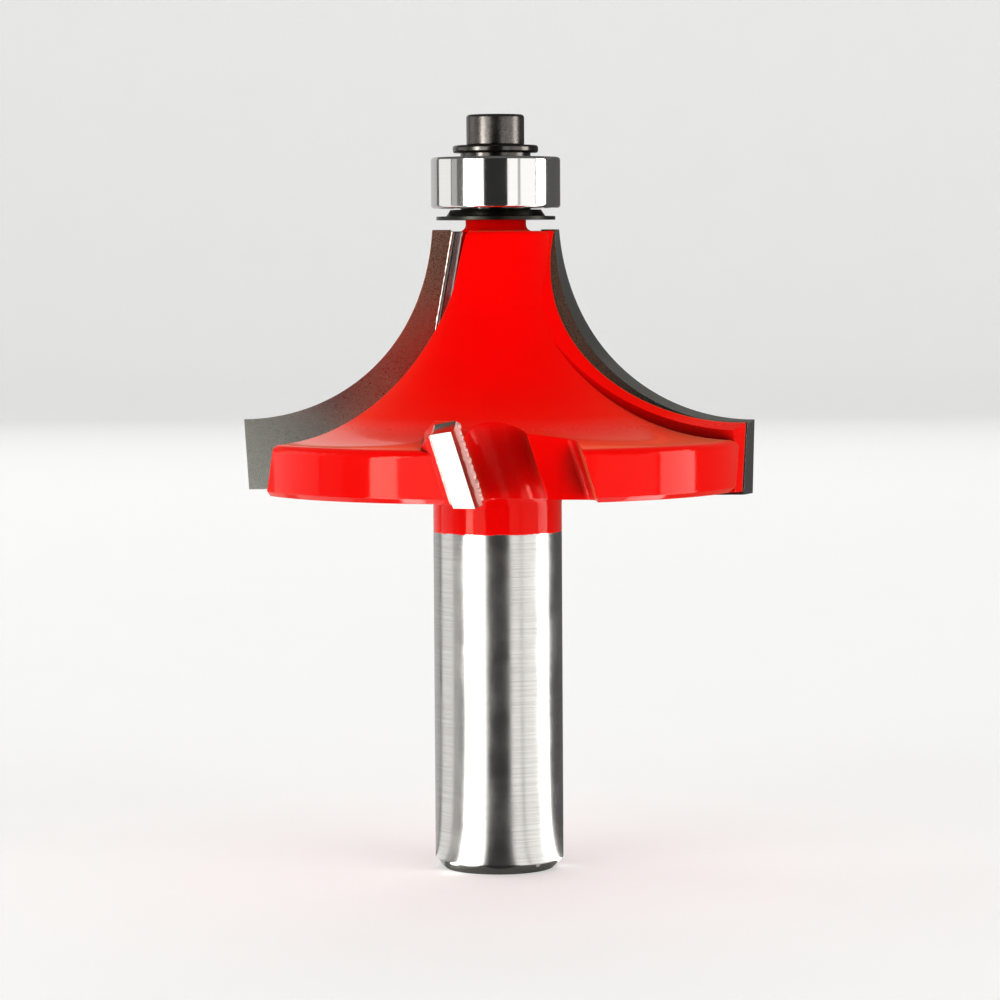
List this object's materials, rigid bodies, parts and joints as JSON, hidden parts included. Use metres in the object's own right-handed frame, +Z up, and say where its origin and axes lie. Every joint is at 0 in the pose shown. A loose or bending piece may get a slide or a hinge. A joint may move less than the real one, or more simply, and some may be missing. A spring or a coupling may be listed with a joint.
{
  "type": "rounding-over router bit",
  "caption": "Brazed carbide router bit for rounding over edges: straight shank, flared red body with large and small cutters, shielded pilot ball bearing held by a cap screw.",
  "frame": {"origin": "centre of the shank's flat end face, which the bit stands on", "axes": "+Z up the axis towards the pilot bearing; +X through the first large cutter; -Y roughly through the first small cutter"},
  "size_m": [0.0504, 0.0506, 0.0743],
  "materials": {
    "red_body": "gloss red paint over the head and neck, bare ground steel on the shank",
    "carbide": "fine ground tungsten carbide, dark grey",
    "braze": "silver braze, dull",
    "bearing_steel": "polished chrome steel",
    "bearing_shield": "plain pressed steel",
    "cage": "pressed steel",
    "black_oxide": "satin black oxide on steel"
  },
  "bodies": {
    "bit": {"body": "red_body", "large_cutter_1": "carbide", "small_cutter_1": "carbide", "large_braze_1": "braze", "small_braze_1": "braze", "large_cutter_2": "carbide", "small_cutter_2": "carbide", "large_braze_2": "braze", "small_braze_2": "braze", "dust_shield": "black_oxide", "bearing_inner_ring": "bearing_steel", "stop_washer": "black_oxide", "cap_screw": "black_oxide"},
    "bearing_outer": {"bearing_outer_ring": "bearing_steel", "bearing_lower_shield": "bearing_shield", "bearing_upper_shield": "bearing_shield"},
    "cage": {"bearing_cage": "cage"},
    "ball_1": {"bearing_ball_1": "bearing_steel"},
    "ball_2": {"bearing_ball_2": "bearing_steel"},
    "ball_3": {"bearing_ball_3": "bearing_steel"},
    "ball_4": {"bearing_ball_4": "bearing_steel"},
    "ball_5": {"bearing_ball_5": "bearing_steel"},
    "ball_6": {"bearing_ball_6": "bearing_steel"},
    "ball_7": {"bearing_ball_7": "bearing_steel"}
  },
  "joints": [
    {"name": "bearing_spin", "type": "hinge", "parent": "bit", "child": "bearing_outer", "pos_m": [0, 0, 0.06764], "axis": [0, 0, 1], "continuous": true},
    {"name": "cage_orbit", "type": "hinge", "parent": "bit", "child": "cage", "pos_m": [0, 0, 0.06764], "axis": [0, 0, 1], "continuous": true},
    {"name": "ball_spin_1", "type": "hinge", "parent": "cage", "child": "ball_1", "pos_m": [0.00437, 0, 0.06764], "axis": [0, 0, 1], "continuous": true},
    {"name": "ball_spin_2", "type": "hinge", "parent": "cage", "child": "ball_2", "pos_m": [0.00272, 0.00341, 0.06764], "axis": [0, 0, 1], "continuous": true},
    {"name": "ball_spin_3", "type": "hinge", "parent": "cage", "child": "ball_3", "pos_m": [-0.00097, 0.00426, 0.06764], "axis": [0, 0, 1], "continuous": true},
    {"name": "ball_spin_4", "type": "hinge", "parent": "cage", "child": "ball_4", "pos_m": [-0.00393, 0.00189, 0.06764], "axis": [0, 0, 1], "continuous": true},
    {"name": "ball_spin_5", "type": "hinge", "parent": "cage", "child": "ball_5", "pos_m": [-0.00393, -0.00189, 0.06764], "axis": [0, 0, 1], "continuous": true},
    {"name": "ball_spin_6", "type": "hinge", "parent": "cage", "child": "ball_6", "pos_m": [-0.00097, -0.00426, 0.06764], "axis": [0, 0, 1], "continuous": true},
    {"name": "ball_spin_7", "type": "hinge", "parent": "cage", "child": "ball_7", "pos_m": [0.00272, -0.00341, 0.06764], "axis": [0, 0, 1], "continuous": true}
  ],
  "couplings": [
    {"joint": "cage_orbit", "follows": "bearing_spin", "ratio": 0.63636},
    {"joint": "ball_spin_1", "follows": "bearing_spin", "ratio": 1.697},
    {"joint": "ball_spin_2", "follows": "bearing_spin", "ratio": 1.697},
    {"joint": "ball_spin_3", "follows": "bearing_spin", "ratio": 1.697},
    {"joint": "ball_spin_4", "follows": "bearing_spin", "ratio": 1.697},
    {"joint": "ball_spin_5", "follows": "bearing_spin", "ratio": 1.697},
    {"joint": "ball_spin_6", "follows": "bearing_spin", "ratio": 1.697},
    {"joint": "ball_spin_7", "follows": "bearing_spin", "ratio": 1.697}
  ]
}
